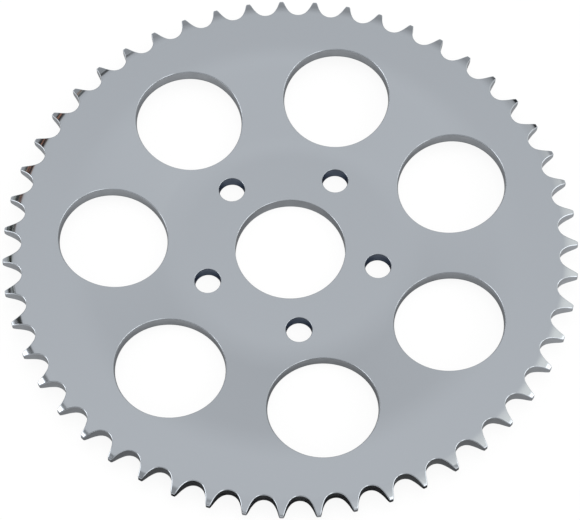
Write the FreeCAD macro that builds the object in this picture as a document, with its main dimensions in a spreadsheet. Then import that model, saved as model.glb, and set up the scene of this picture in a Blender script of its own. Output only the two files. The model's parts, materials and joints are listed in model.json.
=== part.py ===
import FreeCAD, Part
import math
import os
import Sketcher

# Rear sprocket: one round steel plate, pressed into a shallow dish and chrome plated.
# The hub in the middle lies one dish_depth behind the rim, with a cone between the two.
# The origin is the centre of the bore on the hub's back face, and +Z points out of the front.
# +X runs through the middle of one lightening hole.

SIZES = (
    ("chain_pitch", 15.875, "from roller to roller of a 5/8 inch chain"),
    ("roller_diameter", 10.16, "of that chain's rollers"),
    ("seat_clearance", 0.3, "by which a tooth gap's seat is larger in radius than a roller"),
    ("tooth_count", 51, "teeth round the rim"),
    ("tooth_turn", 1.74, "degrees from +X to the middle of the first tooth gap"),
    ("tip_height", 3.4, "from the pitch circle out to the tips of the teeth"),
    ("plate_thickness", 6.8, "of the pressed plate"),
    ("dish_depth", 6.35, "how far the rim stands in front of the hub"),
    ("hub_flat_diameter", 96, "of the flat face in the middle"),
    ("rim_flat_diameter", 214, "inside diameter of the rim's flat face"),
    ("bend_radius", 100, "of the two rounded bends of the dish"),
    ("bore_diameter", 50.8, "fits over the wheel hub's spigot"),
    ("bolt_circle", 82.55, "diameter of the ring of bolt holes"),
    ("bolt_count", 5, "bolt holes"),
    ("bolt_turn", 180.4, "degrees from +X to the first bolt hole"),
    ("bolt_hole_diameter", 11.6, "clears a 7/16 inch bolt"),
    ("lightening_circle", 163.4, "diameter of the ring of lightening holes"),
    ("lightening_count", 7, "lightening holes"),
    ("lightening_hole_diameter", 49.5, "of each large round hole"),
    ("lightening_edge_break", 0.7, "chamfer along both rims of those holes"),
    ("edge_break", 0.3, "chamfer along both rims of the bore and the bolt holes"),
)

# A gap's cutter ends this far outside the tips, so that it leaves no skin there.
CUTTER_OVERRUN = 0.4

# Two hole walls count as the same size and distance from the axis within this.
SAME = 0.001

# The points of a line, arc or circle in a sketch, and the sketch's own axis and origin.
START, END, CENTRE = range(1, 4)
ORIGIN = (-1, START)
H_AXIS = ORIGIN[0]

# The standard tooth form for roller chain, with angles that depend on the tooth count. Half a pitch in
# from the tips, an arc leaves each face and rounds off the sides of the teeth.
PITCH_RADIUS = "sizes.chain_pitch / 2 / sin(180deg / sizes.tooth_count)"
TIP_RADIUS = PITCH_RADIUS + " + sizes.tip_height"
RELIEF_RADIUS = "1.063 * sizes.chain_pitch"
RELIEF_START = TIP_RADIUS + " - sizes.chain_pitch / 2"
SEAT_RADIUS = "(sizes.roller_diameter / 2 + sizes.seat_clearance)"
SEAT_ANGLE = "(35deg + 60deg / sizes.tooth_count)"
FLANK_ANGLE = "(18deg - 56deg / sizes.tooth_count)"
TOP_ANGLE = "(17deg - 64deg / sizes.tooth_count)"
FLANK_OFFSET = "0.8 * sizes.roller_diameter"
TOP_OFFSET = "1.4 * sizes.roller_diameter"
STRAIGHT = "%s * sin%s - %s * sin%s" % (TOP_OFFSET, TOP_ANGLE, FLANK_OFFSET, FLANK_ANGLE)
TOP_RADIUS = "%s * (cos%s - 1) + %s * cos%s - %s" % (
    FLANK_OFFSET, FLANK_ANGLE, TOP_OFFSET, TOP_ANGLE, SEAT_RADIUS)

doc = FreeCAD.newDocument("rear_sprocket")


def fill_sheet():
    """Put each driving dimension in a row of its own: its name, its value and what it is."""
    sheet = doc.addObject("Spreadsheet::Sheet", "sizes")
    for row, (name, value, meaning) in enumerate(SIZES, start=1):
        sheet.set("A%d" % row, name)
        sheet.set("B%d" % row, str(value))
        sheet.setAlias("B%d" % row, name)
        sheet.set("C%d" % row, meaning)
    doc.recompute()


def origin_feature(body, role):
    """One of the body's own origin planes or axes."""
    return [item for item in body.Origin.OriginFeatures if item.Role == role][0]


def new_sketch(body, name, plane_role):
    """An empty sketch on one of the body's origin planes."""
    sketch = body.newObject("Sketcher::SketchObject", name)
    sketch.AttachmentSupport = [(origin_feature(body, plane_role), "")]
    sketch.MapMode = "FlatFace"
    return sketch


def value_of(sketch, expression):
    """What an expression on the sheet's sizes comes to, in millimetres or degrees."""
    result = sketch.evalExpression(expression)
    return float(getattr(result, "Value", result))


def bind(sketch, kind, where, expression):
    """Add a dimension to a sketch and tie it to the sheet."""
    value = value_of(sketch, expression)
    if kind == "Angle":
        value = math.radians(value)
    index = sketch.addConstraint(Sketcher.Constraint(kind, *where, value))
    sketch.setExpression("Constraints[%d]" % index, expression)


def link(sketch, kind, *where):
    """Add a relation without a number to a sketch."""
    sketch.addConstraint(Sketcher.Constraint(kind, *where))


def draw_line(sketch, start, end):
    """A straight line between two points, each an (x, y) pair."""
    return sketch.addGeometry(Part.LineSegment(FreeCAD.Vector(*start), FreeCAD.Vector(*end)))


def draw_arc(sketch, centre, radius, first_angle, last_angle):
    """An arc that runs anticlockwise from its first angle to its last, in degrees."""
    circle = Part.Circle(FreeCAD.Vector(*centre), FreeCAD.Vector(0, 0, 1), radius)
    arc = Part.ArcOfCircle(circle, math.radians(first_angle), math.radians(last_angle))
    return sketch.addGeometry(arc)


def polar(centre, radius, angle):
    """The point at a radius and an angle in degrees from a centre."""
    turn = math.radians(angle)
    return centre[0] + radius * math.cos(turn), centre[1] + radius * math.sin(turn)


def direction(centre, point):
    """The angle in degrees at which a point is seen from a centre."""
    return math.degrees(math.atan2(point[1] - centre[1], point[0] - centre[0]))


def draw_face(sketch, lift):
    """Half section of one face of the dish, from the axis out to the teeth, lift above the back."""
    bend = value_of(sketch, "sizes.bend_radius")
    depth = value_of(sketch, "sizes.dish_depth")
    hub_end = (value_of(sketch, "sizes.hub_flat_diameter / 2"), lift)
    rim_start = (value_of(sketch, "sizes.rim_flat_diameter / 2"), lift + depth)
    rim_end = (value_of(sketch, RELIEF_START), lift + depth)
    hub_centre = (hub_end[0], lift + bend)
    rim_centre = (rim_start[0], lift + depth - bend)
    across = rim_centre[0] - hub_centre[0]
    up = rim_centre[1] - hub_centre[1]
    slope = math.degrees(math.atan2(up, across) + math.asin(2 * bend / math.hypot(across, up)))

    hub_flat = draw_line(sketch, (0, lift), hub_end)
    hub_bend = draw_arc(sketch, hub_centre, bend, -90, slope - 90)
    cone = draw_line(sketch, polar(hub_centre, bend, slope - 90), polar(rim_centre, bend, slope + 90))
    rim_bend = draw_arc(sketch, rim_centre, bend, 90, slope + 90)
    rim_flat = draw_line(sketch, rim_start, rim_end)

    link(sketch, "Horizontal", hub_flat)
    link(sketch, "Horizontal", rim_flat)
    link(sketch, "Tangent", hub_flat, END, hub_bend, START)
    link(sketch, "Tangent", hub_bend, END, cone, START)
    link(sketch, "Tangent", cone, END, rim_bend, END)
    link(sketch, "Tangent", rim_bend, START, rim_flat, START)
    bind(sketch, "Radius", (hub_bend,), "sizes.bend_radius")
    bind(sketch, "Radius", (rim_bend,), "sizes.bend_radius")
    bind(sketch, "DistanceX", (*ORIGIN, hub_flat, END), "sizes.hub_flat_diameter / 2")
    bind(sketch, "DistanceX", (*ORIGIN, rim_flat, START), "sizes.rim_flat_diameter / 2")
    bind(sketch, "DistanceX", (*ORIGIN, rim_flat, END), RELIEF_START)
    bind(sketch, "DistanceY", (hub_flat, END, rim_flat, START), "sizes.dish_depth")
    return hub_flat, rim_flat, rim_end


def draw_side_relief(sketch, face, face_end, side):
    """The arc that rounds off one side of the teeth, from the rim's face out to the tip, and its end there.

    side is 1 in front and -1 behind.
    """
    radius = value_of(sketch, RELIEF_RADIUS)
    centre = (face_end[0], face_end[1] - side * radius)
    across = value_of(sketch, TIP_RADIUS) - centre[0]
    tip_end = (centre[0] + across, centre[1] + side * math.sqrt(radius ** 2 - across ** 2))
    angles = sorted((side * 90, direction(centre, tip_end)))
    relief = draw_arc(sketch, centre, radius, *angles)
    link(sketch, "Tangent", face, END, relief, END if side > 0 else START)
    bind(sketch, "Radius", (relief,), RELIEF_RADIUS)
    return relief, tip_end


def add_pressed_plate(body):
    """The dished blank before its holes and teeth: a half section turned round the axis."""
    sketch = new_sketch(body, "plate_section", "XZ_Plane")
    thickness = value_of(sketch, "sizes.plate_thickness")

    back_hub, back_rim, back_end = draw_face(sketch, 0)
    front_hub, front_rim, front_end = draw_face(sketch, thickness)
    back_relief, low_tip = draw_side_relief(sketch, back_rim, back_end, -1)
    front_relief, high_tip = draw_side_relief(sketch, front_rim, front_end, 1)
    tip_land = draw_line(sketch, low_tip, high_tip)
    middle = draw_line(sketch, (0, 0), (0, thickness))

    link(sketch, "Coincident", back_hub, START, *ORIGIN)
    link(sketch, "Coincident", middle, START, *ORIGIN)
    link(sketch, "Coincident", middle, END, front_hub, START)
    link(sketch, "Vertical", middle)
    bind(sketch, "DistanceY", (middle, START, middle, END), "sizes.plate_thickness")
    link(sketch, "Coincident", back_relief, END, tip_land, START)
    link(sketch, "Coincident", tip_land, END, front_relief, START)
    link(sketch, "Vertical", tip_land)
    bind(sketch, "DistanceX", (*ORIGIN, tip_land, START), TIP_RADIUS)

    plate = body.newObject("PartDesign::Revolution", "pressed_plate")
    plate.Profile = sketch
    plate.ReferenceAxis = (sketch, ["V_Axis"])
    plate.Angle = 360
    sketch.Visibility = False
    body.Tip = plate
    doc.recompute()


def cut_through(body, sketch, name):
    """Cut a sketch's outline up through the whole plate, and make sure that it takes metal away."""
    before = body.Shape.Volume
    pocket = body.newObject("PartDesign::Pocket", name)
    pocket.Profile = sketch
    pocket.Type = "ThroughAll"
    pocket.Reversed = True
    sketch.Visibility = False
    body.Tip = pocket
    doc.recompute()
    if body.Shape.Volume >= before:
        raise RuntimeError(name + " takes no metal away")
    return pocket


def repeat_round(body, pocket, sketch, name, count):
    """Repeat a cut evenly round the axis, as often as the sheet says."""
    before = body.Shape.Volume
    pattern = body.newObject("PartDesign::PolarPattern", name)
    pattern.Originals = [pocket]
    pattern.Axis = (sketch, ["N_Axis"])
    pattern.Angle = 360
    pattern.setExpression("Occurrences", count)
    body.Tip = pattern
    doc.recompute()
    if body.Shape.Volume >= before:
        raise RuntimeError(name + " takes no metal away")


def add_bore(body):
    """The plain round bore in the middle."""
    sketch = new_sketch(body, "bore_outline", "XY_Plane")
    radius = value_of(sketch, "sizes.bore_diameter / 2")
    circle = sketch.addGeometry(Part.Circle(FreeCAD.Vector(0, 0, 0), FreeCAD.Vector(0, 0, 1), radius))
    link(sketch, "Coincident", circle, CENTRE, *ORIGIN)
    bind(sketch, "Diameter", (circle,), "sizes.bore_diameter")
    cut_through(body, sketch, "bore")


def add_hole_ring(body, name, circle_size, hole_size, count_size, turn=None):
    """A ring of round holes: the first on +X, or turned from it by an angle, and the rest by pattern."""
    sketch = new_sketch(body, name + "_outline", "XY_Plane")
    ring_radius = value_of(sketch, circle_size + " / 2")
    radius = value_of(sketch, hole_size + " / 2")
    centre = FreeCAD.Vector(ring_radius, 0, 0)
    circle = sketch.addGeometry(Part.Circle(centre, FreeCAD.Vector(0, 0, 1), radius))
    link(sketch, "PointOnObject", circle, CENTRE, H_AXIS)
    bind(sketch, "DistanceX", (*ORIGIN, circle, CENTRE), circle_size + " / 2")
    bind(sketch, "Diameter", (circle,), hole_size)
    if turn:
        sketch.setExpression("AttachmentOffset.Rotation.Angle", turn)
    first = cut_through(body, sketch, name)
    repeat_round(body, first, sketch, name + "_ring", count_size)


def draw_gap_side(sketch, seat, seat_end, side):
    """One flank of a tooth gap: from the roller's seat over the flank arc and a straight to the tip.

    side is 1 for the flank at +Y and -1 for the one at -Y, which is its mirror image.
    """
    def outline_arc(centre, radius, first, last):
        """The arc as it is on the +Y side, or its mirror image, with its ends in the same order."""
        if side > 0:
            return draw_arc(sketch, centre, radius, first, last), START, END
        return draw_arc(sketch, (centre[0], -centre[1]), radius, -last, -first), END, START

    seat_angle = value_of(sketch, SEAT_ANGLE)
    flank_end_angle = 90 + seat_angle - value_of(sketch, FLANK_ANGLE)
    offset = value_of(sketch, FLANK_OFFSET)
    flank_radius = value_of(sketch, SEAT_RADIUS) + offset
    top_radius = value_of(sketch, TOP_RADIUS)
    cutter_radius = value_of(sketch, TIP_RADIUS) + CUTTER_OVERRUN

    flank_centre = polar((value_of(sketch, PITCH_RADIUS), 0), offset, seat_angle - 90)
    flank_end = polar(flank_centre, flank_radius, flank_end_angle)
    line_end = polar(flank_end, value_of(sketch, STRAIGHT), flank_end_angle - 90)
    top_centre = polar(line_end, top_radius, flank_end_angle)
    to_axis = math.hypot(*top_centre)
    cosine = (top_radius ** 2 + to_axis ** 2 - cutter_radius ** 2) / (2 * top_radius * to_axis)
    top_end_angle = math.degrees(math.atan2(-top_centre[1], -top_centre[0]) + math.acos(cosine)) + 360

    flank, flank_far, flank_near = outline_arc(
        flank_centre, flank_radius, flank_end_angle, 90 + seat_angle)
    straight = draw_line(sketch, (flank_end[0], side * flank_end[1]), (line_end[0], side * line_end[1]))
    top, top_near, top_far = outline_arc(
        top_centre, top_radius, flank_end_angle + 180, top_end_angle)

    link(sketch, "Tangent", seat, seat_end, flank, flank_near)
    link(sketch, "Tangent", flank, flank_far, straight, START)
    link(sketch, "Tangent", straight, END, top, top_near)
    bind(sketch, "DistanceX", (seat, CENTRE, flank, CENTRE), "%s * sin%s" % (FLANK_OFFSET, SEAT_ANGLE))
    upright = (flank, CENTRE, seat, CENTRE) if side > 0 else (seat, CENTRE, flank, CENTRE)
    bind(sketch, "DistanceY", upright, "%s * cos%s" % (FLANK_OFFSET, SEAT_ANGLE))
    bind(sketch, "Angle", (flank,), FLANK_ANGLE)
    bind(sketch, "Distance", (straight,), STRAIGHT)
    bind(sketch, "Radius", (top,), TOP_RADIUS)
    top_point = polar(top_centre, top_radius, top_end_angle)
    return top, top_far, math.degrees(math.atan2(top_point[1], top_point[0]))


def add_teeth(body):
    """The gap between two teeth, cut once and repeated round the rim."""
    sketch = new_sketch(body, "tooth_gap_outline", "XY_Plane")
    seat_centre = (value_of(sketch, PITCH_RADIUS), 0)
    seat_angle = value_of(sketch, SEAT_ANGLE)
    seat = draw_arc(
        sketch, seat_centre, value_of(sketch, SEAT_RADIUS), 90 + seat_angle, 270 - seat_angle)
    link(sketch, "PointOnObject", seat, CENTRE, H_AXIS)
    bind(sketch, "DistanceX", (*ORIGIN, seat, CENTRE), PITCH_RADIUS)
    bind(sketch, "Radius", (seat,), SEAT_RADIUS)

    upper_top, upper_end, half_angle = draw_gap_side(sketch, seat, START, 1)
    lower_top, lower_end, half_angle = draw_gap_side(sketch, seat, END, -1)
    cutter_radius = value_of(sketch, TIP_RADIUS) + CUTTER_OVERRUN
    cap = draw_arc(sketch, (0, 0), cutter_radius, -half_angle, half_angle)
    link(sketch, "Coincident", cap, CENTRE, *ORIGIN)
    link(sketch, "Coincident", cap, START, lower_top, lower_end)
    link(sketch, "Coincident", cap, END, upper_top, upper_end)
    bind(sketch, "Radius", (cap,), "%s + %g" % (TIP_RADIUS, CUTTER_OVERRUN))
    sketch.setExpression("AttachmentOffset.Rotation.Angle", "sizes.tooth_turn")

    gap = cut_through(body, sketch, "tooth_gap")
    repeat_round(body, gap, sketch, "tooth_gaps", "sizes.tooth_count")


def hole_rims(shape, radius, ring_radius):
    """Names of the edges round both ends of the holes of one radius at one distance from the axis."""
    rims = []
    for face in shape.Faces:
        wall = face.Surface
        if not isinstance(wall, Part.Cylinder):
            continue
        distance = math.hypot(wall.Center.x, wall.Center.y)
        if abs(wall.Radius - radius) > SAME or abs(distance - ring_radius) > SAME:
            continue
        rims += [edge for edge in face.Edges if not isinstance(edge.Curve, Part.Line)]
    return ["Edge%d" % number for number, edge in enumerate(shape.Edges, start=1)
            if any(edge.isSame(rim) for rim in rims)]


def add_edge_breaks(body, name, holes, size):
    """A chamfer on both rims of round holes, each kind given by its radius and its distance from the axis."""
    base = body.Tip
    chamfer = body.newObject("PartDesign::Chamfer", name)
    chamfer.Base = (base, sum((hole_rims(base.Shape, *hole) for hole in holes), []))
    chamfer.setExpression("Size", size)
    body.Tip = chamfer
    doc.recompute()


def make_sprocket():
    """The whole sprocket as one body, in the order in which it is made."""
    sheet = doc.getObject("sizes")
    body = doc.addObject("PartDesign::Body", "sprocket_plate")
    body.Label = "sprocket_plate"
    body.Placement = FreeCAD.Placement()
    add_pressed_plate(body)
    add_bore(body)
    add_hole_ring(
        body, "lightening_hole", "sizes.lightening_circle", "sizes.lightening_hole_diameter",
        "sizes.lightening_count")
    add_hole_ring(
        body, "bolt_hole", "sizes.bolt_circle", "sizes.bolt_hole_diameter", "sizes.bolt_count",
        "sizes.bolt_turn")
    plain_holes = [(sheet.bore_diameter / 2, 0), (sheet.bolt_hole_diameter / 2, sheet.bolt_circle / 2)]
    add_edge_breaks(body, "edge_breaks", plain_holes, "sizes.edge_break")
    lightening_holes = [(sheet.lightening_hole_diameter / 2, sheet.lightening_circle / 2)]
    add_edge_breaks(body, "lightening_edge_breaks", lightening_holes, "sizes.lightening_edge_break")
    add_teeth(body)
    return body


def check_document():
    """Stop if any object of the document failed to compute."""
    for item in doc.Objects:
        if "Invalid" in item.State or "Error" in item.State:
            raise RuntimeError("%s failed: %s" % (item.Name, item.State))


def export(body):
    """Check a body's solid and write it to the file that its label names."""
    shape = body.Shape
    if shape.isNull() or not shape.isValid() or len(shape.Solids) != 1:
        raise RuntimeError(body.Label + " isn't one valid solid")
    shape.exportStep(os.path.join("parts", body.Label + ".step"))
    box = shape.optimalBoundingBox(False, False)
    print("%s: %.1f mm3, %.2f x %.2f x %.2f mm" % (
        body.Label, shape.Volume, box.XLength, box.YLength, box.ZLength))


os.makedirs("parts", exist_ok=True)
fill_sheet()
sprocket = make_sprocket()
check_document()
export(sprocket)
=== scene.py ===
import json
import math
from collections import namedtuple

import bpy
import numpy as np
from bpy.props import FloatProperty, FloatVectorProperty, IntProperty, PointerProperty
from mathutils.geometry import delaunay_2d_cdt
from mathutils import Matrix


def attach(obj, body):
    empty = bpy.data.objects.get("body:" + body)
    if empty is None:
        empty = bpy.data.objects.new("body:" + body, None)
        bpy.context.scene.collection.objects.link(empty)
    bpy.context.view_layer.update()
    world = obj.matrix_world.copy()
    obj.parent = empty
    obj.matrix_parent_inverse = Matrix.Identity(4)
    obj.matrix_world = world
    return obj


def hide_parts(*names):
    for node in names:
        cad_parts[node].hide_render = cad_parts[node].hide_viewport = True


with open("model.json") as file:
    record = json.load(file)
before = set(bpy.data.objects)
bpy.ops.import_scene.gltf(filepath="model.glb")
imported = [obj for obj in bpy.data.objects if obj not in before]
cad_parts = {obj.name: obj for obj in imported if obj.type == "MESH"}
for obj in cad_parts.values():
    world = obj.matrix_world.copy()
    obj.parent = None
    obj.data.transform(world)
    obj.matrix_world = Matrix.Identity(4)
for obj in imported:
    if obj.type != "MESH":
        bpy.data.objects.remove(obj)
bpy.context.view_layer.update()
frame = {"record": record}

bl_info = {
    "name": "Rear sprocket",
    "version": (1, 0, 0),
    "blender": (4, 5, 0),
    "location": "3D View > Sidebar > Sprocket",
    "description": "A dished, chrome-plated rear sprocket and the studio that it stands in",
    "category": "Object",
}

NODE = "sprocket_plate"
MOUNT = {mount["name"]: mount["dims"] for mount in frame["record"]["mounts"]}

# How finely the surfaces are divided: steps round an edge, down a wall, along one side of a tooth gap and
# across a tooth, and points round a large hole and round a bolt hole.
EDGE_STEPS = 6
WALL_STEPS = 2
SIDE_STEPS = 22
ACROSS_TOOTH = 8
ROUND_LARGE_HOLE = 144
ROUND_BOLT_HOLE = 56

# Points worked out along each arc and along the straight of a tooth gap. Its side's evenly spaced points are
# taken from between them.
ARC_POINTS = 60
STRAIGHT_POINTS = 20

# The points in the faces, in metres: the gap from ring to ring and along a ring, and how far they stay from
# a hole's rim.
RING_GAP = 0.0024
CLEAR_OF_HOLE = 0.0009

# How close two points would have to be, in millimetres, to count as one while the faces are divided.
SAME_POINT = 1e-6

# Material slots of the plate, in order.
FACE, TOOTH_CUT, HOLE_CUT, BOLT_CUT = range(4)

# The finish of each kind of wall: its material, and how many steps of its rounded edges, from the face on,
# still have the face's bright chrome. The rest of each rounded edge takes the wall's chrome, darker by
# painted shade.
TOOTH_GAP = (TOOTH_CUT, EDGE_STEPS)
BORE = (HOLE_CUT, 4)
LARGE_HOLE = (HOLE_CUT, 2)
BOLT_HOLE = (BOLT_CUT, 2)

# A round hole: its centre, its radius, its edge (how far out and how far down its rims are rounded), the
# number of points round it, and its finish.
Hole = namedtuple("Hole", "centre radius edge steps finish")


def linear(hex_value):
    """The linear colour of an sRGB hex value such as #C0C0C0, with an alpha of 1."""
    channels = [int(hex_value[place:place + 2], 16) / 255 for place in (1, 3, 5)]
    return [c / 12.92 if c <= 0.04045 else ((c + 0.055) / 1.055) ** 2.4 for c in channels] + [1.0]


def length(name, description, default):
    """A property for a length in metres."""
    return FloatProperty(name=name, description=description, default=default, unit="LENGTH", precision=5)


def colour(name, description, default):
    """A property for a colour, whose default is given in sRGB hex."""
    return FloatVectorProperty(
        name=name, description=description, subtype="COLOR", size=4, min=0, max=1, default=linear(default))


class SprocketSizes(bpy.types.PropertyGroup):
    """Sizes of the plate: those of the solid, except for the teeth's ends and the edges.

    In the photograph the teeth are a little lower and thicker at their ends, and the edges are rounded
    where the solid's are chamfered or sharp.
    """
    tooth_count: IntProperty(
        name="Teeth", description="Teeth round the rim", default=MOUNT["chain_teeth"]["count"], min=9)
    pitch_circle: length(
        "Pitch circle", "Diameter of the circle on which the chain's rollers lie",
        MOUNT["chain_teeth"]["pcd_mm"] / 1000)
    roller: length("Roller", "Diameter of the chain's rollers", 0.01016)
    seat_clearance: length("Seat clearance", "Extra radius of a gap's seat over a roller", 0.0003)
    tooth_turn: FloatProperty(
        name="Tooth turn", description="From +X to the middle of the first gap", subtype="ANGLE",
        default=math.radians(1.74))
    tip_height: length("Tip height", "From the pitch circle out to the tips", 0.00325)
    relief_reach: length("Relief reach", "How far in from the tips the teeth's sides are rounded", 0.0079375)
    relief_radius: length("Relief radius", "Radius of that rounding, seen from the side", 0.0185)
    thickness: length("Thickness", "Of the plate", 0.0068)
    dish_depth: length("Dish depth", "How far the rim stands in front of the hub", 0.00635)
    hub_flat: length("Hub flat", "Diameter of the flat face in the middle", 0.096)
    rim_flat: length("Rim flat", "Inside diameter of the rim's flat face", 0.214)
    bend_radius: length("Bend radius", "Of the two rounded bends of the dish", 0.100)
    bore: length("Bore", "Diameter of the hole in the middle", 2 * MOUNT["hub_bore"]["r_mm"] / 1000)
    bolt_circle: length("Bolt circle", "Diameter", MOUNT["hub_bolts"]["pcd_mm"] / 1000)
    bolt_hole: length("Bolt hole", "Diameter", 2 * MOUNT["hub_bolts"]["hole_r_mm"] / 1000)
    bolt_count: IntProperty(
        name="Bolt holes", description="On their circle", default=MOUNT["hub_bolts"]["count"], min=1)
    bolt_turn: FloatProperty(
        name="Bolt turn", description="From +X to the first bolt hole", subtype="ANGLE",
        default=math.radians(180.4))
    lightening_circle: length("Lightening circle", "Diameter", 0.1634)
    lightening_hole: length("Lightening hole", "Diameter", 0.0495)
    lightening_count: IntProperty(
        name="Lightening holes", description="The first of them lies on +X", default=7, min=1)
    lightening_edge: length("Lightening edge", "How far out the rims of those holes are rounded", 0.0007)
    lightening_flare: length("Lightening flare", "How far down their walls that rounding runs", 0.0028)
    bolt_edge: length("Bolt hole edge", "How far out the rims of the bolt holes are rounded", 0.0005)
    bolt_flare: length("Bolt hole flare", "How far down their walls that rounding runs", 0.0024)
    bore_edge: length("Bore edge", "How far the rims of the bore are rounded", 0.0003)
    tooth_edge: length("Tooth edge", "How far polishing has rounded the edges of the teeth", 0.0004)
    tip_corner: length("Tip corner", "Radius of the two corners of a tooth's tip", 0.00015)


class SprocketFinish(bpy.types.PropertyGroup):
    """Colours of the finishes."""
    chrome: colour("Chrome", "Bright chrome on the polished faces and edges", "#BFC5CC")
    # Painted shade: darker than the faces' chrome, for the darker things that the gaps' walls mirror.
    gap_wall_colour_with_painted_shade: colour("Chrome in gaps", "Duller chrome on the walls of the tooth gaps", "#B4B8BD")
    # Painted shade: darker still, for the darker things that the large holes' walls mirror.
    large_hole_colour_with_painted_shade: colour("Chrome in holes", "Thin chrome on the walls of the large holes", "#A9ADB2")
    # Painted shade: dark blue-grey, for the shade deep in the small bolt holes and the dark things their
    # walls mirror.
    bolt_hole_colour_with_painted_shade: colour("Chrome in bolt holes", "What little chrome gets into the bolt holes", "#6A7280")


class SprocketStudio(bpy.types.PropertyGroup):
    """Camera, floor and light."""
    camera_place: FloatVectorProperty(
        name="Camera place", description="Where the camera stands", subtype="XYZ", unit="LENGTH",
        size=3, default=(-0.18030, -0.42908, 0.92833))
    camera_turn: FloatVectorProperty(
        name="Camera turn", description="How the camera is turned", subtype="EULER", unit="ROTATION",
        size=3, default=[math.radians(angle) for angle in (26.5032, 0.1478, -23.0658)])
    lens: FloatProperty(
        name="Lens", description="Focal length on a sensor 36 mm wide", unit="CAMERA", default=138.9)
    floor: colour("Floor", "Pale table", "#F4F4F4")
    floor_reach: length("Floor reach", "From the middle of the table to each of its sides", 4.0)
    floor_gap: length("Floor gap", "From the hub's back face down to the table", 0.0002)
    floor_glow: FloatProperty(
        name="Floor glow", description="Share of even white in the table that the camera and the chrome see",
        subtype="FACTOR", min=0, max=1, default=0.9)
    # The card under the sprocket holds painted shade that only the chrome mirrors.
    card_radius: length("Card radius", "Of the round grey card under the sprocket", 0.160)
    lamp_size: length("Lamp size", "Diameter of the lamp overhead", 1.2)
    lamp_height: length("Lamp height", "From the hub's back face up to the lamp", 1.5)
    lamp_power: FloatProperty(name="Lamp power", description="Of the lamp overhead", unit="POWER", default=9)


class Profile:
    """Half section of the plate: the heights and slopes of its two faces at any distance from the axis."""

    def __init__(self, sizes):
        self.thickness = sizes.thickness
        self.hub = sizes.hub_flat / 2
        self.rim = sizes.rim_flat / 2
        self.bend = sizes.bend_radius
        self.depth = sizes.dish_depth
        self.tip = sizes.pitch_circle / 2 + sizes.tip_height
        self.relief_start = self.tip - sizes.relief_reach
        self.relief_radius = sizes.relief_radius
        across = self.rim - self.hub
        up = self.depth - 2 * self.bend
        self.slope = math.atan2(up, across) + math.asin(2 * self.bend / math.hypot(across, up))

    def dish(self, radius):
        """Height and slope of the pressed sheet: flat, an arc up, a straight cone, an arc back, and flat."""
        first = np.clip(radius - self.hub, 0, self.bend * math.sin(self.slope))
        last = np.clip(self.rim - radius, 0, self.bend * math.sin(self.slope))
        low = self.bend - np.sqrt(self.bend ** 2 - first ** 2)
        high = self.depth - self.bend + np.sqrt(self.bend ** 2 - last ** 2)
        cone_start = self.hub + self.bend * math.sin(self.slope)
        cone_end = self.rim - self.bend * math.sin(self.slope)
        straight = low + (radius - cone_start) * math.tan(self.slope)
        height = np.where(radius < cone_start, low, np.where(radius > cone_end, high, straight))
        steep = np.where(radius < (cone_start + cone_end) / 2, first, last)
        return height, steep / np.sqrt(self.bend ** 2 - steep ** 2)

    def relief(self, radius):
        """How far a tooth's rounded side lies below its flat face, and how steeply it falls there.

        It follows an arc that leaves the face smoothly: the drop is the arc's radius less its height.
        """
        past = np.clip(radius - self.relief_start, 0, None)
        up = np.sqrt(self.relief_radius ** 2 - past ** 2)
        return self.relief_radius - up, past / up

    def face(self, points, side):
        """Height and gradient at points of the front face, if side is 1, or of the back, if it is -1.

        The height is the dish's, with the plate's thickness added and the drop taken off in front, and
        with the drop added behind.
        """
        radius = np.hypot(points[:, 0], points[:, 1])
        height, slope = self.dish(radius)
        drop, fall = self.relief(radius)
        lift = self.thickness if side > 0 else 0
        gradient = (slope - side * fall)[:, None] * points / radius[:, None]
        return height + lift - side * drop, gradient


def turned(vectors, angle):
    """Flat vectors turned about the axis: x' = x cos - y sin, y' = x sin + y cos."""
    x, y = vectors[..., 0], vectors[..., 1]
    return np.stack([x * np.cos(angle) - y * np.sin(angle), x * np.sin(angle) + y * np.cos(angle)], -1)


def unit(angle):
    """Flat unit vectors at angles."""
    return np.stack([np.cos(angle), np.sin(angle)], -1)


def meet(first_centre, first_radius, second_radius):
    """Where a circle meets one about the axis, on the side nearer to the tooth's middle.

    The law of cosines gives the angle at the first circle's centre. The result is the point and its
    angle on that circle.
    """
    distance = np.hypot(*first_centre)
    cosine = (first_radius ** 2 + distance ** 2 - second_radius ** 2) / (2 * first_radius * distance)
    angle = math.atan2(-first_centre[1], -first_centre[0]) + math.acos(cosine)
    return first_centre + first_radius * unit(angle), angle


def arc(centre, radius, first, last, facing):
    """Points along an arc, close together, and the unit vector that points out of the metal at each.

    A point is the centre plus the radius times the unit vector at an angle that runs evenly from the
    first to the last. Its normal points away from the centre where facing is 1, and towards it where
    facing is -1.
    """
    angle = np.linspace(first, last, ARC_POINTS)
    return centre + radius * unit(angle), facing * unit(angle)


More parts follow.
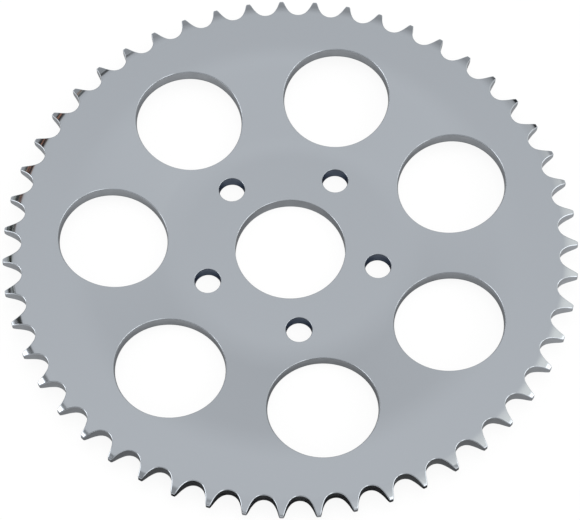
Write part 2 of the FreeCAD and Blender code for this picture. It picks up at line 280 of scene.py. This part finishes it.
def gap_side(sizes, profile):
    """One side of a tooth gap that is centred on +X, from the middle of its seat to the tip's flat.

    It is the standard tooth form: an arc round the roller, a flank arc, a short straight, an arc over
    the top, and a small rounded corner. Its angles follow from the number of teeth, and its lengths
    from the roller: the centres of the flank's arc and of the top's lie 0.8 and 1.4 rollers from the
    seat's. The result is the points, close together, and the unit vector that points from the metal
    into the gap at each.
    """
    teeth = sizes.tooth_count
    flank_reach = 0.8 * sizes.roller
    top_reach = 1.4 * sizes.roller
    seat = sizes.roller / 2 + sizes.seat_clearance
    seat_angle = math.radians(35 + 60 / teeth)
    flank_angle = math.radians(18 - 56 / teeth)
    top_angle = math.radians(17 - 64 / teeth)
    middle = np.array([sizes.pitch_circle / 2, 0])
    flank = seat + flank_reach
    flank_centre = middle + flank_reach * unit(seat_angle - math.pi / 2)
    flank_end = math.pi / 2 + seat_angle - flank_angle
    straight = top_reach * math.sin(top_angle) - flank_reach * math.sin(flank_angle)
    line_start = flank_centre + flank * unit(flank_end)
    line_end = line_start + straight * unit(flank_end - math.pi / 2)
    top = flank_reach * (math.cos(flank_angle) - 1) + top_reach * math.cos(top_angle) - seat
    top_centre = line_end + top * unit(flank_end)
    corner = sizes.tip_corner
    corner_centre, top_last = meet(top_centre, top - corner, profile.tip - corner)
    tip_angle = math.atan2(corner_centre[1], corner_centre[0])

    share = np.linspace(0, 1, STRAIGHT_POINTS)[:, None]
    line = line_start + share * (line_end - line_start)
    points, normals = zip(
        arc(middle, seat, math.pi, math.pi / 2 + seat_angle, -1),
        arc(flank_centre, flank, math.pi / 2 + seat_angle, flank_end, -1),
        (line, np.broadcast_to(-unit(flank_end), line.shape)),
        arc(top_centre, top, flank_end - math.pi, top_last, 1),
        arc(corner_centre, corner, top_last, tip_angle, 1))
    return np.concatenate(points), np.concatenate(normals)


def side_stations(points, normals):
    """A few points of a gap's side, evenly spaced along it, each worked out between two of the close ones."""
    along = np.concatenate([[0], np.cumsum(np.hypot(*np.diff(points, axis=0).T))])
    stations = np.linspace(0, along[-1], SIDE_STEPS + 1)
    point = np.stack([np.interp(stations, along, points[:, axis]) for axis in (0, 1)], -1)
    normal = np.stack([np.interp(stations, along, normals[:, axis]) for axis in (0, 1)], -1)
    return point, normal / np.hypot(*normal.T)[:, None]


def tooth_sheet(sizes, profile):
    """Flat layout of all the teeth inside their rounded edges, and their outline.

    Each tooth is a grid: its rows are arcs about the axis, at the radii of the points along its side,
    and its columns divide each row evenly from one side of the tooth to the other. The result is the
    points, the triangles, the numbers of the points on the innermost circle, and the outline as
    numbers of its points and the unit vectors that point out of the metal.
    """
    edge = sizes.tooth_edge
    wall, normal = side_stations(*gap_side(sizes, profile))
    inner = wall - edge * normal
    rows, teeth, columns = len(inner), sizes.tooth_count, ACROSS_TOOTH
    radius = np.hypot(*inner.T)
    half = math.pi / teeth - np.arctan2(inner[:, 1], inner[:, 0])
    middle = sizes.tooth_turn + (np.arange(teeth) + 0.5) * 2 * math.pi / teeth
    share = np.linspace(-1, 1, columns + 1)
    angle = middle[:, None, None] + half[None, :, None] * share
    points = radius[None, :, None, None] * unit(angle)
    number = np.arange(teeth * rows * (columns + 1)).reshape(teeth, rows, columns + 1)
    number[:, 0, -1] = np.roll(number[:, 0, 0], -1)

    corners = [number[:, :-1, :-1], number[:, 1:, :-1], number[:, 1:, 1:], number[:, :-1, 1:]]
    a, b, c, d = [corner.reshape(-1) for corner in corners]
    triangles = np.concatenate([np.stack([a, b, c], -1), np.stack([a, c, d], -1)])

    away = np.arctan2(normal[:, 1], normal[:, 0])
    start = middle - math.pi / teeth
    right = unit(start[:, None] + away)
    left = unit(start[:, None] + 2 * math.pi / teeth - away)[:, ::-1]
    flat = unit(angle[:, -1, 1:-1])
    order = np.concatenate([number[:, :, 0], number[:, -1, 1:-1], number[:, :0:-1, -1]], 1).reshape(-1)
    out = np.concatenate([right, flat, left[:, :-1]], 1).reshape(-1, 2)
    circle = number[:, 0, :-1].reshape(-1)
    return points.reshape(-1, 2), triangles, circle, (order, out)


def hole_list(sizes):
    """All the round holes: the bore first, then the bolt holes, then the lightening holes."""
    bore_edge = (sizes.bore_edge, sizes.bore_edge)
    holes = [Hole((0.0, 0.0), sizes.bore / 2, bore_edge, ROUND_LARGE_HOLE, BORE)]
    for circle, diameter, edge, count, turn, steps, finish in (
            (sizes.bolt_circle, sizes.bolt_hole, (sizes.bolt_edge, sizes.bolt_flare),
             sizes.bolt_count, sizes.bolt_turn, ROUND_BOLT_HOLE, BOLT_HOLE),
            (sizes.lightening_circle, sizes.lightening_hole, (sizes.lightening_edge, sizes.lightening_flare),
             sizes.lightening_count, 0, ROUND_LARGE_HOLE, LARGE_HOLE)):
        for place in unit(turn + np.arange(count) * 2 * math.pi / count) * circle / 2:
            holes.append(Hole(tuple(place), diameter / 2, edge, steps, finish))
    return holes


def fill_plate(holes, outer):
    """Flat layout of the plate inside the teeth, round its holes.

    Points lie evenly on rings about the axis, and none is close to a hole. Triangles join them to the
    holes' rims and to the outer circle, whose points are given. The result is the points, the outer
    circle's first, the triangles, and for each hole the numbers of its points, the unit vectors that
    point into it, its edge and its finish.
    """
    loops, points, ties = [], [outer], [np.arange(len(outer))]
    used = len(outer)
    rims = [hole.radius + hole.edge[0] for hole in holes]
    for hole, rim in zip(holes, rims):
        angle = -np.arange(hole.steps) * 2 * math.pi / hole.steps
        points.append(np.array(hole.centre) + rim * unit(angle))
        loop = np.arange(used, used + hole.steps)
        loops.append((loop, -unit(angle), hole.edge, hole.finish))
        ties.append(loop)
        used += hole.steps
    inside = rims[0]
    outside = np.hypot(*outer.T).min()
    rings = []
    for radius in np.arange(inside + RING_GAP / 2, outside - RING_GAP / 2, RING_GAP):
        steps = int(2 * math.pi * radius / RING_GAP)
        rings.append(radius * unit(np.arange(steps) * 2 * math.pi / steps))
    rings = np.concatenate(rings)
    for hole, rim in zip(holes, rims):
        rings = rings[np.hypot(*(rings - hole.centre).T) > rim + CLEAR_OF_HOLE]
    points = np.concatenate(points + [rings])

    ties = [np.stack([loop, np.roll(loop, -1)], -1) for loop in ties]
    millimetres = [tuple(point) for point in (points * 1000).tolist()]
    # There are no faces to keep, and 0 asks for triangles over the whole area.
    result = delaunay_2d_cdt(millimetres, np.concatenate(ties).tolist(), [], 0, SAME_POINT)
    source = np.array([origin[0] for origin in result[3]])
    triangles = source[np.array(result[2])]
    centres = points[triangles].mean(1)
    keep = np.hypot(*centres.T) < outside
    for hole, rim in zip(holes, rims):
        keep &= np.hypot(*(centres - hole.centre).T) > rim
    return points, triangles[keep], loops


def edge_strip(profile, inner, out, edge, side):
    """A rounded edge between a face and a wall: a quarter turn, from the face down to the wall.

    At a turn of t it lies reach * sin t outside the inner line and depth * (1 - cos t) below the face,
    plus the face's own slope, where edge is (reach, depth). Its normal turns with it from the face's to
    the wall's. Rows run from the face to the wall, and side is 1 in front and -1 behind.
    """
    reach, depth = edge
    height, gradient = profile.face(inner, side)
    along = turned(out, math.pi / 2)
    rise = (gradient * out).sum(1)
    drift = (gradient * along).sum(1)
    turn = np.linspace(0, math.pi / 2, EDGE_STEPS + 1)[:, None]
    flat = inner + reach * np.sin(turn)[..., None] * out
    lift = height + rise * reach * np.sin(turn) - side * depth * (1 - np.cos(turn))
    outward = depth * np.sin(turn) - side * rise * reach * np.cos(turn)
    sideways = -side * drift * reach * np.cos(turn)
    level = outward[..., None] * out + sideways[..., None] * along
    upright = np.broadcast_to(side * reach * np.cos(turn), outward.shape)
    normal = np.concatenate([level, upright[..., None]], -1)
    return np.concatenate([flat, lift[..., None]], -1), normal


class Shell:
    """The closed surface of the plate as arrays of points, normals, faces and materials."""

    def __init__(self, profile, flat, triangles):
        self.profile = profile
        self.flat = flat
        self.places, self.normals, self.faces, self.finishes = [], [], [], []
        for side in (1, -1):
            height, gradient = profile.face(flat, side)
            self.places.append(np.column_stack([flat, height]))
            self.normals.append(side * np.column_stack([-gradient, np.ones(len(flat))]))
        behind = triangles[:, ::-1] + len(flat)
        for part in (triangles, behind):
            self.faces.append(np.column_stack([part, part[:, 2]]))
            self.finishes.append(np.full(len(part), FACE))
        self.count = 2 * len(flat)

    def add_wall(self, loop, out, edge, finish):
        """The wall of a hole or of the teeth, carried round its outline, with a rounded edge at each end."""
        inner = self.flat[loop]
        front, front_normal = edge_strip(self.profile, inner, out, edge, 1)
        back, back_normal = edge_strip(self.profile, inner, out, edge, -1)
        share = np.linspace(0, 1, WALL_STEPS + 1)[1:-1, None, None]
        middle = front[-1] + share * (back[-1] - front[-1])
        middle_normal = np.broadcast_to(front_normal[-1], middle.shape)
        places = np.concatenate([front[1:], middle, back[:0:-1]])
        normals = np.concatenate([front_normal[1:], middle_normal, back_normal[:0:-1]])
        rows, steps = places.shape[:2]
        number = self.count + np.arange(rows * steps).reshape(rows, steps)
        number = np.concatenate([loop[None], number, loop[None] + len(self.flat)])
        following = np.roll(number, -1, 1)
        quads = np.stack([number[:-1], number[1:], following[1:], following[:-1]], -1)
        finishes = np.full(quads.shape[:2], FACE)
        material, bright = finish
        finishes[bright:-bright] = material
        self.places.append(places.reshape(-1, 3))
        self.normals.append(normals.reshape(-1, 3))
        self.faces.append(quads.reshape(-1, 4))
        self.finishes.append(finishes.reshape(-1))
        self.count += rows * steps

    def build(self, name, materials):
        """The mesh object, with each point's own normal, so that the curves have no facets."""
        places, normals = np.concatenate(self.places), np.concatenate(self.normals)
        faces, finishes = np.concatenate(self.faces), np.concatenate(self.finishes)
        whole = [face[:3] if face[2] == face[3] else face for face in faces.tolist()]
        mesh = bpy.data.meshes.new(name)
        mesh.from_pydata(places.tolist(), [], whole)
        for material in materials:
            mesh.materials.append(material)
        mesh.polygons.foreach_set("material_index", finishes.astype(np.int32))
        mesh.polygons.foreach_set("use_smooth", np.ones(len(faces), bool))
        used = np.zeros(len(places), bool)
        used[faces] = True
        normals = normals / np.linalg.norm(normals, axis=1)[:, None]
        mesh.normals_split_custom_set_from_vertices(normals.tolist())
        mesh.validate()
        if not used.all():
            raise RuntimeError("%d points of %s are in no face" % ((~used).sum(), name))
        piece = bpy.data.objects.new(name, mesh)
        bpy.context.scene.collection.objects.link(piece)
        return piece


def make_plate(sizes, materials):
    """The whole plate: teeth, faces round the holes, and all the walls with their rounded edges."""
    profile = Profile(sizes)
    teeth, tooth_triangles, circle, outline = tooth_sheet(sizes, profile)
    holes = hole_list(sizes)
    points, triangles, loops = fill_plate(holes, teeth[circle])

    # The circle between the teeth and the faces belongs to both, and keeps its numbers from the teeth.
    number = np.concatenate([circle, len(teeth) + np.arange(len(points) - len(circle))])
    flat = np.concatenate([teeth, points[len(circle):]])
    triangles = np.concatenate([tooth_triangles, number[triangles]])

    # Points that no triangle uses are left out, and the rest are numbered anew.
    used = np.unique(triangles)
    place = np.full(len(flat), -1)
    place[used] = np.arange(len(used))
    shell = Shell(profile, flat[used], place[triangles])
    shell.add_wall(place[outline[0]], outline[1], (sizes.tooth_edge, sizes.tooth_edge), TOOTH_GAP)
    for loop, out, edge, finish in loops:
        shell.add_wall(place[number[loop]], out, edge, finish)
    return shell.build("chromed_plate", materials)


def add_node(tree, kind, values=(), links=(), **settings):
    """Add a node, set its settings and its inputs' values, and link other nodes' outputs to its inputs.

    values holds (input, value) pairs, and links holds (input, node, output) triples.
    """
    node = tree.nodes.new(kind)
    for name, value in settings.items():
        setattr(node, name, value)
    for name, value in values:
        node.inputs[name].default_value = value
    for name, source, output in links:
        tree.links.new(source.outputs[output], node.inputs[name])
    return node


def add_ramp(tree, source, output, stops):
    """A ramp of greys over another node's output: stops holds (position, shade) pairs."""
    ramp = add_node(tree, "ShaderNodeValToRGB", links=[("Fac", source, output)])
    while len(ramp.color_ramp.elements) < len(stops):
        ramp.color_ramp.elements.new(0.5)
    for element, (position, shade) in zip(ramp.color_ramp.elements, stops):
        element.position = position
        element.color = (shade, shade, shade, 1)
    return ramp


def node_material(name):
    """An empty node material."""
    material = bpy.data.materials.new(name)
    material.use_nodes = True
    material.node_tree.nodes.clear()
    return material, material.node_tree


def new_material(name):
    """A node material with its output and its shader."""
    material, tree = node_material(name)
    shader = add_node(tree, "ShaderNodeBsdfPrincipled")
    add_node(tree, "ShaderNodeOutputMaterial", links=[("Surface", shader, "BSDF")])
    return material, tree, shader


def bright_chrome(finish):
    """Decorative chrome over polished steel: electroplated after buffing.

    It mirrors its surroundings with a faint blue cast. The buffing leaves waves some 12 mm long that are
    too shallow to see but bend a reflection a little, and patches that are a touch less sharp.
    """
    material, tree, shader = new_material("bright_chrome_on_polished_steel")
    shader.inputs["Base Color"].default_value = finish.chrome
    shader.inputs["Metallic"].default_value = 1
    place = add_node(tree, "ShaderNodeTexCoord")
    patches = add_node(
        tree, "ShaderNodeTexNoise", [("Scale", 1 / 0.020), ("Detail", 3)], [("Vector", place, "Object")])
    rough = add_node(
        tree, "ShaderNodeMapRange",
        [("From Min", 0.3), ("From Max", 0.7), ("To Min", 0.07), ("To Max", 0.12)],
        [("Value", patches, "Fac")])
    tree.links.new(rough.outputs["Result"], shader.inputs["Roughness"])
    waves = add_node(
        tree, "ShaderNodeTexNoise", [("Scale", 1 / 0.012), ("Detail", 1)], [("Vector", place, "Object")])
    bump = add_node(
        tree, "ShaderNodeBump", [("Strength", 0.15), ("Distance", 0.00005)], [("Height", waves, "Fac")])
    tree.links.new(bump.outputs["Normal"], shader.inputs["Normal"])
    return material


def wall_chrome_with_painted_shade(name, base, light, dark, roughness, edge):
    """Chrome in a bored hole or a cut gap: duller than the faces, and darker by painted shade.

    The cutter's marks run round the wall, about 2.5 mm apart, and show through the plating. The marks
    are bands across the wall's height, broken up by noise. The texture draws them pi / 10 of its own
    unit apart, and that unit is 8 mm here. light and dark are the ends of the clouded base colour, as
    shares of it. The base colour is darker than the faces' chrome as painted shade, for the darker things
    that the walls mirror. edge is the share of light that the metal reflects at a grazing angle, and it is
    kept low as painted shade too, so that the walls stay dark where they are seen edge on.
    """
    material, tree, shader = new_material(name)
    shader.inputs["Metallic"].default_value = 1
    place = add_node(tree, "ShaderNodeTexCoord")
    cloud = add_node(
        tree, "ShaderNodeTexNoise", [("Scale", 1 / 0.004), ("Detail", 4)], [("Vector", place, "Object")])
    shades = [[channel * share for channel in base[:3]] + [1] for share in (dark, light)]
    tint = add_node(
        tree, "ShaderNodeMixRGB", [("Color1", shades[0]), ("Color2", shades[1])], [("Fac", cloud, "Fac")])
    tree.links.new(tint.outputs["Color"], shader.inputs["Base Color"])
    marks = add_node(
        tree, "ShaderNodeTexWave", [("Scale", 1 / 0.008), ("Distortion", 1.5), ("Detail", 2)],
        [("Vector", place, "Object")], bands_direction="Z")
    bump = add_node(
        tree, "ShaderNodeBump", [("Strength", 0.2), ("Distance", 0.00002)], [("Height", marks, "Fac")])
    tree.links.new(bump.outputs["Normal"], shader.inputs["Normal"])
    shader.inputs["Roughness"].default_value = roughness
    shader.inputs["Specular Tint"].default_value = (edge, edge, edge, 1)
    return material


def heading(azimuth, camera_turn):
    """Level unit vector towards an azimuth, in degrees clockwise from straight behind the sprocket."""
    angle = math.radians(90 - azimuth) + camera_turn
    return math.cos(angle), math.sin(angle), 0.0


# The tent's brightness, from its foot up to the top, by the sine of the elevation.
TENT = (
    (0.0, 1.2), (0.10, 0.80), (0.16, 0.62), (0.22, 0.46), (0.40, 0.44), (0.52, 0.43), (0.60, 0.52),
    (0.70, 0.60), (0.78, 0.69), (0.85, 0.73), (0.89, 0.76), (0.93, 0.79), (1.0, 0.76))

# What stands in the tent, in degrees: its azimuth clockwise from straight behind, half its width and the
# width of its soft sides, its lowest and highest elevation and the width of its soft ends, and its shade.
SURROUNDINGS = (
    ("bright side of the tent", 95, 30, 45, 35, 58, 27, (1.14, 1.13, 1.07)),
    ("left wall of the tent", -82, 25, 17, 0, 41, 5, (0.66, 0.66, 0.66)),
    ("bright left foot", -72, 28, 6, -5, 7, 4, (2.2, 2.2, 2.2)),
    ("grey screen over the left softbox", -88, 30, 6, 45, 62, 3, (0.31, 0.31, 0.31)),
    ("grey screen in front on the left", -126, 14, 10, 30, 69, 8, (0.41, 0.41, 0.41)),
    ("room in front", -163, 18, 9, 34, 54, 9, (0.25, 0.25, 0.25)),
    ("camera", -175, 8, 6, 50, 57, 3, (0.13, 0.13, 0.13)),
    ("camera stand", -175, 6, 4, 30, 52, 4, (0.06, 0.06, 0.06)),
    ("left softbox", -91, 13, 7, 23, 54, 5, (3.0, 3.0, 3.0)),
    ("right softbox", 99, 20, 4, 23, 46, 4, (3.0, 3.0, 3.0)),
    ("top of the right softbox", 88, 9, 4, 40, 51, 3, (2.3, 2.3, 2.3)),
    ("front softbox", 142, 9, 5, 23, 61, 4, (2.2, 2.2, 2.2)),
    ("gap between the softboxes", 116, 2, 3, 45, 62, 4, (0.5, 0.5, 0.5)),
    ("dim wall on the left", -40, 14, 4, 34, 52, 3, (0.42, 0.44, 0.40)),
    ("brown wood before it", -33, 5, 3, 36, 52, 3, (0.46, 0.22, 0.15)),
    ("dark things before both", -40, 14, 4, 34, 52, 3, (0.04, 0.04, 0.04)),
    ("dark things far left", -56, 6, 6, 41, 57, 3, (0.03, 0.03, 0.025)),
    ("dark line behind", -20, 2, 3, 40, 45, 3, (0.10, 0.10, 0.10)),
    ("dim right", 31, 14, 3, 8, 28, 9, (0.45, 0.45, 0.45)),
    ("dark gap on the right", 33, 4, 3, 10, 26, 3, (0.02, 0.02, 0.02)),
)

# Of those, the ones that have gaps through which the rest shows.
CLUTTERED = ("dark things before both", "dark things far left")


def add_clutter(tree, place):
    """Noise over all directions, finer in azimuth than in elevation: 1 where a thing stands, 0 in a gap."""
    stretched = add_node(
        tree, "ShaderNodeVectorMath", [(1, (1, 1, 0.4))], [(0, place, "Generated")], operation="MULTIPLY")
    noise = add_node(
        tree, "ShaderNodeTexNoise", [("W", 7.0), ("Scale", 16.0), ("Detail", 2)],
        [("Vector", stretched, "Vector")], noise_dimensions="4D")
    return add_node(
        tree, "ShaderNodeMapRange", [("From Min", 0.46), ("From Max", 0.50)], [("Value", noise, "Fac")])


def light_studio(camera_turn):
    """A world like a pale tent: white at the foot, grey above it, with softboxes and dark panels in it.

    The tent's brightness depends on the elevation alone. Each softbox or panel is mixed over it where
    the azimuth is near enough to its own and the elevation is between its lowest and its highest. The
    cluttered ones have gaps.
    """
    world = bpy.data.worlds.new("studio_tent")
    bpy.context.scene.world = world
    world.use_nodes = True
    tree = world.node_tree
    tree.nodes.clear()
    place = add_node(tree, "ShaderNodeTexCoord")
    parts = add_node(tree, "ShaderNodeSeparateXYZ", links=[("Vector", place, "Generated")])
    elevation = add_node(tree, "ShaderNodeMath", links=[(0, parts, "Z")], operation="ARCSINE")
    level = add_node(
        tree, "ShaderNodeVectorMath", [(1, (1, 1, 0))], [(0, place, "Generated")], operation="MULTIPLY")
    level = add_node(tree, "ShaderNodeVectorMath", links=[(0, level, "Vector")], operation="NORMALIZE")
    things = add_clutter(tree, place)
    last = add_ramp(tree, parts, "Z", TENT)
    for name, azimuth, half, soft_side, low, high, soft_end, shade in SURROUNDINGS:
        across = [math.cos(math.radians(angle)) for angle in (half + soft_side, half)]
        below, bottom, top, above = [
            math.radians(angle) for angle in (low - soft_end, low, high, high + soft_end)]
        toward = add_node(
            tree, "ShaderNodeVectorMath", [(1, heading(azimuth, camera_turn))], [(0, level, "Vector")],
            operation="DOT_PRODUCT")
        inside = add_node(
            tree, "ShaderNodeMapRange", [("From Min", across[0]), ("From Max", across[1])],
            [("Value", toward, "Value")], interpolation_type="SMOOTHSTEP")
        inside = add_node(
            tree, "ShaderNodeMapRange", [("From Min", below), ("From Max", bottom)],
            [("Value", elevation, "Value"), ("To Max", inside, "Result")], interpolation_type="SMOOTHSTEP")
        inside = add_node(
            tree, "ShaderNodeMapRange", [("From Min", top), ("From Max", above), ("To Max", 0.0)],
            [("Value", elevation, "Value"), ("To Min", inside, "Result")], interpolation_type="SMOOTHSTEP")
        if name in CLUTTERED:
            inside = add_node(
                tree, "ShaderNodeMapRange", links=[("Value", inside, "Result"), ("To Max", things, "Result")])
        last = add_node(
            tree, "ShaderNodeMixRGB", [("Color2", (*shade, 1))],
            [("Fac", inside, "Result"), ("Color1", last, "Color")], label=name)
    background = add_node(tree, "ShaderNodeBackground", links=[("Color", last, "Color")])
    add_node(tree, "ShaderNodeOutputWorld", links=[("Surface", background, "Background")])


def add_lamp(studio):
    """A large soft lamp overhead, which lights the table and gives the sprocket its faint shadow there.

    The chrome doesn't mirror it.
    """
    data = bpy.data.lights.new("overhead_lamp", "AREA")
    data.shape = "DISK"
    data.size = studio.lamp_size
    data.energy = studio.lamp_power
    lamp = bpy.data.objects.new("overhead_lamp", data)
    bpy.context.scene.collection.objects.link(lamp)
    lamp.location = (0, 0, studio.lamp_height)
    lamp.visible_glossy = False


def new_stage(name, corners, faces, material):
    """A piece of the studio that isn't part of the sprocket."""
    mesh = bpy.data.meshes.new(name)
    mesh.from_pydata(corners, [], faces)
    mesh.materials.append(material)
    item = bpy.data.objects.new(name, mesh)
    bpy.context.scene.collection.objects.link(item)
    return item


def make_floor(studio):
    """A white table: one large square just under the hub, pale to the eye and in the chrome's mirror."""
    material, tree = node_material("white_table")
    paint = add_node(tree, "ShaderNodeBsdfDiffuse", [("Color", studio.floor)])
    glow = add_node(tree, "ShaderNodeEmission", [("Color", (1, 1, 1, 1)), ("Strength", 1.0)])
    path = add_node(tree, "ShaderNodeLightPath")
    seen = add_node(
        tree, "ShaderNodeMath", links=[(0, path, "Is Camera Ray"), (1, path, "Is Glossy Ray")],
        operation="MAXIMUM")
    seen = add_node(
        tree, "ShaderNodeMath", links=[(0, seen, "Value"), (1, path, "Is Transmission Ray")],
        operation="MAXIMUM")
    share = add_node(
        tree, "ShaderNodeMath", [(1, studio.floor_glow)], [(0, seen, "Value")], operation="MULTIPLY")
    mix = add_node(
        tree, "ShaderNodeMixShader",
        links=[(0, share, "Value"), (1, paint, "BSDF"), (2, glow, "Emission")])
    add_node(tree, "ShaderNodeOutputMaterial", links=[("Surface", mix, "Shader")])
    reach = studio.floor_reach
    corners = [(x * reach, y * reach, -studio.floor_gap) for x, y in ((-1, -1), (1, -1), (1, 1), (-1, 1))]
    new_stage("floor", corners, [(0, 1, 2, 3)], material)


# Painted shade on the card, for the shaded table that the chrome mirrors: its shade by the distance in
# metres from the sprocket's axis, first towards the far side and then towards the right. The two are
# multiplied.
CARD_AWAY = (
    (-0.145, 0.90), (-0.139, 0.80), (-0.135, 0.40), (-0.131, 0.02), (-0.126, 0.0), (-0.121, 0.02),
    (-0.115, 0.12), (-0.106, 0.22), (-0.090, 0.33), (-0.060, 0.44), (0.0, 0.49), (0.130, 0.55))
CARD_RIGHT = (
    (-0.130, 1.25), (-0.065, 1.25), (-0.035, 1.2), (0.0, 1.1), (0.035, 1.1), (0.065, 1.12), (0.095, 1.2),
    (0.130, 1.5))

# Points round the card's rim.
CARD_POINTS = 90


def add_card_ramp(tree, place, toward, stops):
    """The shade along a level direction: stops holds (distance, shade) pairs."""
    reach = add_node(
        tree, "ShaderNodeVectorMath", [(1, toward)], [(0, place, "Object")], operation="DOT_PRODUCT")
    first, last = stops[0][0], stops[-1][0]
    share = add_node(
        tree, "ShaderNodeMapRange", [("From Min", first), ("From Max", last)], [("Value", reach, "Value")])
    return add_ramp(
        tree, share, "Result", [((distance - first) / (last - first), shade) for distance, shade in stops])


def make_card(studio):
    """A card on the table under the sprocket, which only the chrome sees: it glows with painted shade, which
    stands in for the shaded table under the plate and its teeth in the chrome's reflections.

    It is nearly black under the teeth in front, and a little brighter at both sides than in the middle.
    """
    material, tree = node_material("painted_shade_card")
    place = add_node(tree, "ShaderNodeTexCoord")
    away = add_card_ramp(tree, place, heading(0, studio.camera_turn[2]), CARD_AWAY)
    right = add_card_ramp(tree, place, heading(90, studio.camera_turn[2]), CARD_RIGHT)
    glow = add_node(
        tree, "ShaderNodeEmission", links=[("Color", away, "Color"), ("Strength", right, "Color")])
    add_node(tree, "ShaderNodeOutputMaterial", links=[("Surface", glow, "Emission")])
    ring = studio.card_radius * unit(np.arange(CARD_POINTS) * 2 * math.pi / CARD_POINTS)
    ring = np.column_stack([ring, np.full(CARD_POINTS, -studio.floor_gap / 2)])
    card = new_stage("painted_shade_card", ring.tolist(), [tuple(range(CARD_POINTS))], material)
    card.visible_camera = False
    card.visible_diffuse = False
    card.visible_shadow = False


def make_camera(studio):
    """The camera, where the photograph was taken from."""
    data = bpy.data.cameras.new("camera")
    data.sensor_fit = "HORIZONTAL"
    data.sensor_width = 36
    data.lens = studio.lens
    data.clip_start = 0.01
    data.clip_end = 100
    camera = bpy.data.objects.new("camera", data)
    bpy.context.scene.collection.objects.link(camera)
    camera.location = studio.camera_place
    camera.rotation_euler = studio.camera_turn
    bpy.context.scene.camera = camera


class SPROCKET_OT_make_plate(bpy.types.Operator):
    """Make the chromed plate in place of the plain solid"""
    bl_idname = "sprocket.make_plate"
    bl_label = "Make plate"

    def execute(self, context):
        finish = context.scene.sprocket_finish
        materials = [
            bright_chrome(finish),
            # The walls' chrome: duller, with painted shade in its darker colours and in its low reflection at
            # a grazing angle.
            wall_chrome_with_painted_shade(
                "duller_chrome_with_painted_shade_in_tooth_gaps", finish.gap_wall_colour_with_painted_shade,
                light=1.15, dark=0.85, roughness=0.3, edge=0.6),
            wall_chrome_with_painted_shade(
                "chrome_with_painted_shade_in_holes", finish.large_hole_colour_with_painted_shade,
                light=1.15, dark=0.85, roughness=0.3, edge=0.4),
            wall_chrome_with_painted_shade(
                "chrome_with_painted_shade_in_bolt_holes", finish.bolt_hole_colour_with_painted_shade,
                light=1.3, dark=0.7, roughness=0.35, edge=0.15),
        ]
        plate = make_plate(context.scene.sprocket_sizes, materials)
        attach(plate, "root")
        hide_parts(NODE)
        return {"FINISHED"}


class SPROCKET_OT_make_studio(bpy.types.Operator):
    """Set up the white table, the light tent and the camera"""
    bl_idname = "sprocket.make_studio"
    bl_label = "Make studio"

    def execute(self, context):
        studio = context.scene.sprocket_studio
        make_floor(studio)
        make_card(studio)
        light_studio(studio.camera_turn[2])
        add_lamp(studio)
        make_camera(studio)
        context.scene.view_settings.view_transform = "Standard"
        return {"FINISHED"}


class SPROCKET_PT_panel(bpy.types.Panel):
    """The steps and settings of the sprocket"""
    bl_idname = "SPROCKET_PT_panel"
    bl_label = "Rear sprocket"
    bl_space_type = "VIEW_3D"
    bl_region_type = "UI"
    bl_category = "Sprocket"

    def draw(self, context):
        for operator in OPERATORS:
            self.layout.operator(operator.bl_idname)
        for name in GROUPS:
            settings = getattr(context.scene, name)
            box = self.layout.box()
            for prop in settings.__annotations__:
                box.prop(settings, prop)


GROUPS = {
    "sprocket_sizes": SprocketSizes,
    "sprocket_finish": SprocketFinish,
    "sprocket_studio": SprocketStudio,
}
OPERATORS = (SPROCKET_OT_make_plate, SPROCKET_OT_make_studio)


def register():
    """Register the classes and hang the settings on the scene."""
    for item in (*GROUPS.values(), *OPERATORS, SPROCKET_PT_panel):
        bpy.utils.register_class(item)
    for name, group in GROUPS.items():
        setattr(bpy.types.Scene, name, PointerProperty(type=group))


def unregister():
    """Take the settings and the classes away again."""
    for name in GROUPS:
        delattr(bpy.types.Scene, name)
    for item in (SPROCKET_PT_panel, *reversed(OPERATORS), *reversed(GROUPS.values())):
        bpy.utils.unregister_class(item)


def main():
    """Make everything in order."""
    register()
    bpy.ops.sprocket.make_studio()
    bpy.ops.sprocket.make_plate()


if __name__ == "__main__":
    main()
